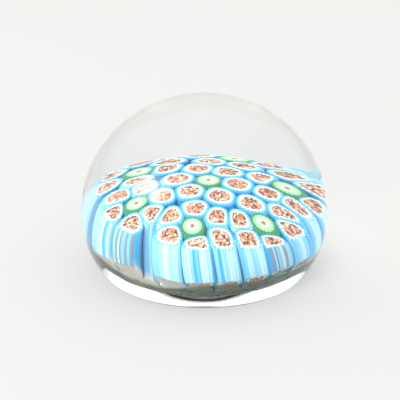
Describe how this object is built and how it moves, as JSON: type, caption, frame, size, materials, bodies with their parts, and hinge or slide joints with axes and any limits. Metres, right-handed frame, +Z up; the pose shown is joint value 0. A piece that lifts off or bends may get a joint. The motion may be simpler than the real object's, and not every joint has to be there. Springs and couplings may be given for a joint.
{
  "type": "paperweight",
  "caption": "Low domed clear glass paperweight over a close-packed bed of blue, white, rose and green glass cane flowers, with a flat polished foot.",
  "frame": {"origin": "middle of the flat resting face under the crystal", "axes": "+Z up through the top of the dome; -Y towards the front_left and front_right flowers, +X to the right of them"},
  "size_m": [0.07, 0.07, 0.0503],
  "materials": {
    "clear_crystal": "fire-polished clear crystal, ground and polished foot",
    "rose_core": "bundle of fine rose, brown, mustard and white glass rods",
    "white_star": "opaque white glass with a toothed outer edge",
    "blue_casing": "translucent turquoise blue casing glass with pale stripes",
    "star_rod": "dark red-brown star rod",
    "green_body": "pale green glass",
    "green_casing": "deeper green casing glass with pale stripes"
  },
  "bodies": {
    "root": {"crystal_base": "clear_crystal", "crystal_dome": "clear_crystal", "centre_rose_cores": "rose_core", "centre_white_stars": "white_star", "centre_blue_casings": "blue_casing", "centre_green_star_rod": "star_rod", "centre_green_body": "green_body", "centre_green_casing": "green_casing", "right_rose_cores": "rose_core", "right_white_stars": "white_star", "right_blue_casings": "blue_casing", "right_green_star_rod": "star_rod", "right_green_body": "green_body", "right_green_casing": "green_casing", "back_right_rose_cores": "rose_core", "back_right_white_stars": "white_star", "back_right_blue_casings": "blue_casing", "back_right_green_star_rod": "star_rod", "back_right_green_body": "green_body", "back_right_green_casing": "green_casing", "back_left_rose_cores": "rose_core", "back_left_white_stars": "white_star", "back_left_blue_casings": "blue_casing", "back_left_green_star_rod": "star_rod", "back_left_green_body": "green_body", "back_left_green_casing": "green_casing", "left_rose_cores": "rose_core", "left_white_stars": "white_star", "left_blue_casings": "blue_casing", "left_green_star_rod": "star_rod", "left_green_body": "green_body", "left_green_casing": "green_casing", "front_left_rose_cores": "rose_core", "front_left_white_stars": "white_star", "front_left_blue_casings": "blue_casing", "front_left_green_star_rod": "star_rod", "front_left_green_body": "green_body", "front_left_green_casing": "green_casing", "front_right_rose_cores": "rose_core", "front_right_white_stars": "white_star", "front_right_blue_casings": "blue_casing", "front_right_green_star_rod": "star_rod", "front_right_green_body": "green_body", "front_right_green_casing": "green_casing"}
  },
  "joints": []
}
